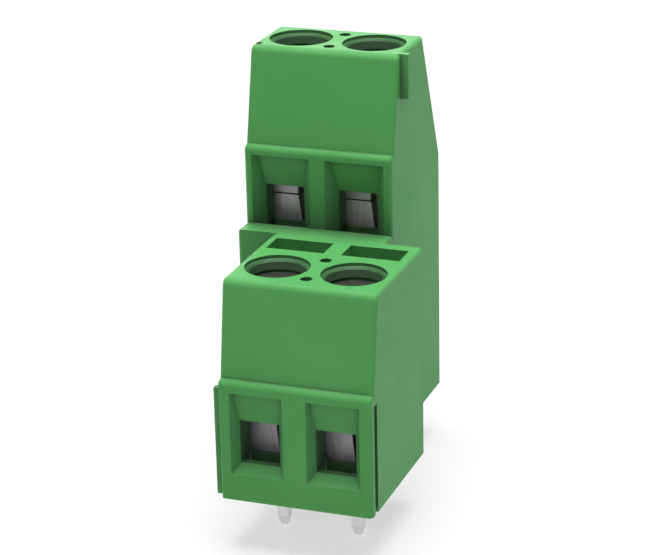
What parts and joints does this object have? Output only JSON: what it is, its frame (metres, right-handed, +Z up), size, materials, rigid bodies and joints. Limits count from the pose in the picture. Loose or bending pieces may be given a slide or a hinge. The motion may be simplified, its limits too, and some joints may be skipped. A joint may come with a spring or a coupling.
{
  "type": "pcb screw terminal",
  "caption": "Two-level screw terminal block for a circuit board: a stepped moulded housing with funnel wire entries, rising clamp sleeves, slotted screws and solder pins.",
  "frame": {"origin": "middle of the solder pin pattern, on the underside that rests on the circuit board", "axes": "+Z up, away from the board; wires enter from -Y; +X to the right seen from the wire side"},
  "size_m": [0.0126, 0.0222, 0.0294],
  "materials": {
    "housing": "satin moulded polyamide",
    "contact": "tin-plated copper alloy strip",
    "sleeve": "zinc-plated steel",
    "screw": "zinc-plated steel"
  },
  "bodies": {
    "block": {"housing": "housing", "contact_lower_left": "contact", "contact_lower_right": "contact", "contact_upper_left": "contact", "contact_upper_right": "contact"},
    "screw_lower_left": {"clamp_screw_lower_left": "screw"},
    "sleeve_lower_left": {"clamp_sleeve_lower_left": "sleeve"},
    "screw_lower_right": {"clamp_screw_lower_right": "screw"},
    "sleeve_lower_right": {"clamp_sleeve_lower_right": "sleeve"},
    "screw_upper_left": {"clamp_screw_upper_left": "screw"},
    "sleeve_upper_left": {"clamp_sleeve_upper_left": "sleeve"},
    "screw_upper_right": {"clamp_screw_upper_right": "screw"},
    "sleeve_upper_right": {"clamp_sleeve_upper_right": "sleeve"}
  },
  "joints": [
    {"name": "screw_turn_lower_left", "type": "hinge", "parent": "block", "child": "screw_lower_left", "pos_m": [-0.00127, -0.00635, 0.01347], "axis": [0, 0, 1], "range_deg": [0, 1440]},
    {"name": "clamp_slide_lower_left", "type": "slide", "parent": "block", "child": "sleeve_lower_left", "axis": [0, 0, -1], "range_m": [0, 0.002]},
    {"name": "screw_turn_lower_right", "type": "hinge", "parent": "block", "child": "screw_lower_right", "pos_m": [0.00381, -0.00635, 0.01347], "axis": [0, 0, 1], "range_deg": [0, 1440]},
    {"name": "clamp_slide_lower_right", "type": "slide", "parent": "block", "child": "sleeve_lower_right", "axis": [0, 0, -1], "range_m": [0, 0.002]},
    {"name": "screw_turn_upper_left", "type": "hinge", "parent": "block", "child": "screw_upper_left", "pos_m": [-0.00381, 0.00549, 0.02505], "axis": [0, 0, 1], "range_deg": [0, 1440]},
    {"name": "clamp_slide_upper_left", "type": "slide", "parent": "block", "child": "sleeve_upper_left", "axis": [0, 0, -1], "range_m": [0, 0.002]},
    {"name": "screw_turn_upper_right", "type": "hinge", "parent": "block", "child": "screw_upper_right", "pos_m": [0.00127, 0.00549, 0.02505], "axis": [0, 0, 1], "range_deg": [0, 1440]},
    {"name": "clamp_slide_upper_right", "type": "slide", "parent": "block", "child": "sleeve_upper_right", "axis": [0, 0, -1], "range_m": [0, 0.002]}
  ],
  "couplings": [
    {"joint": "screw_turn_lower_left", "follows": "clamp_slide_lower_left", "rad_per_m": 12566},
    {"joint": "screw_turn_lower_right", "follows": "clamp_slide_lower_right", "rad_per_m": 12566},
    {"joint": "screw_turn_upper_left", "follows": "clamp_slide_upper_left", "rad_per_m": 12566},
    {"joint": "screw_turn_upper_right", "follows": "clamp_slide_upper_right", "rad_per_m": 12566}
  ]
}
